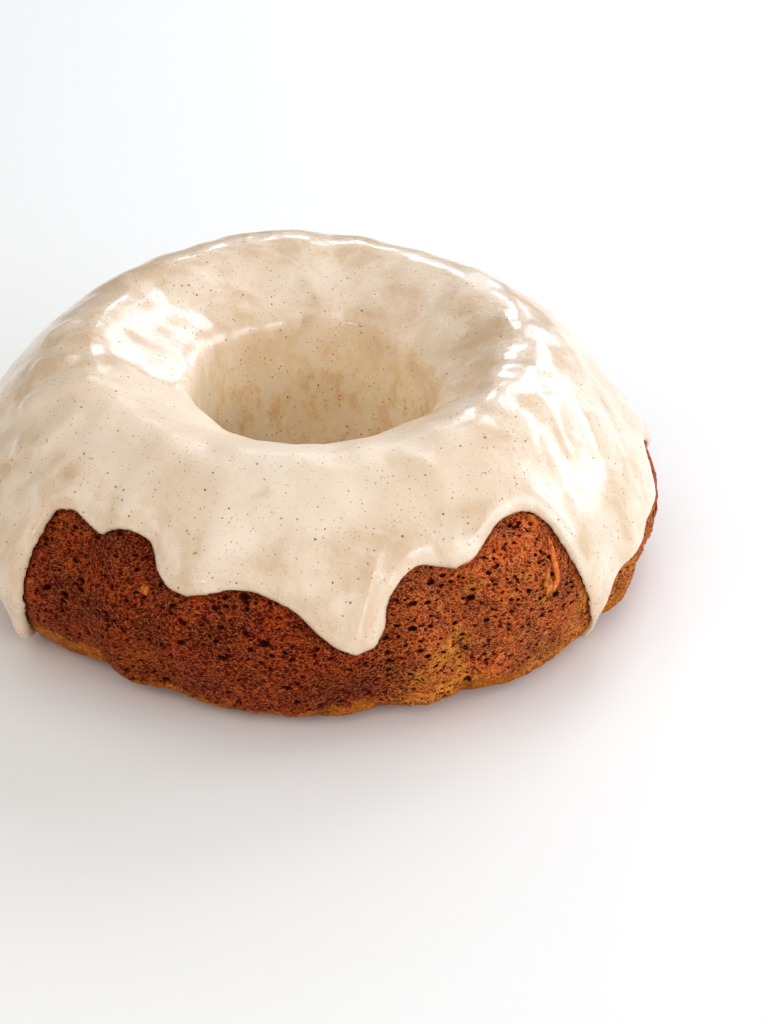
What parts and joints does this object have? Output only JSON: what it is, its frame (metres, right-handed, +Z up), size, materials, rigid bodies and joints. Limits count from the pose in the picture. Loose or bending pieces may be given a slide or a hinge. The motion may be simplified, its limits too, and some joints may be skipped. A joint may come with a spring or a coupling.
{
  "type": "ring cake",
  "caption": "Whole fluted ring cake, standing on its flat side, with poured cream icing that runs down the sides in drips.",
  "frame": {"origin": "centre of the cake's bounding box in X and Y, at the height of the surface it stands on", "axes": "+Z is up through the hole. -Y is the front, the side with the longest broad drip. +X is to the right as seen from the front."},
  "size_m": [0.243, 0.2416, 0.0883],
  "materials": {
    "sponge": "brown open crumb, dull",
    "icing": "cream glaze with fine brown specks, wet gloss"
  },
  "bodies": {
    "root": {"sponge": "sponge", "icing": "icing"}
  },
  "joints": []
}
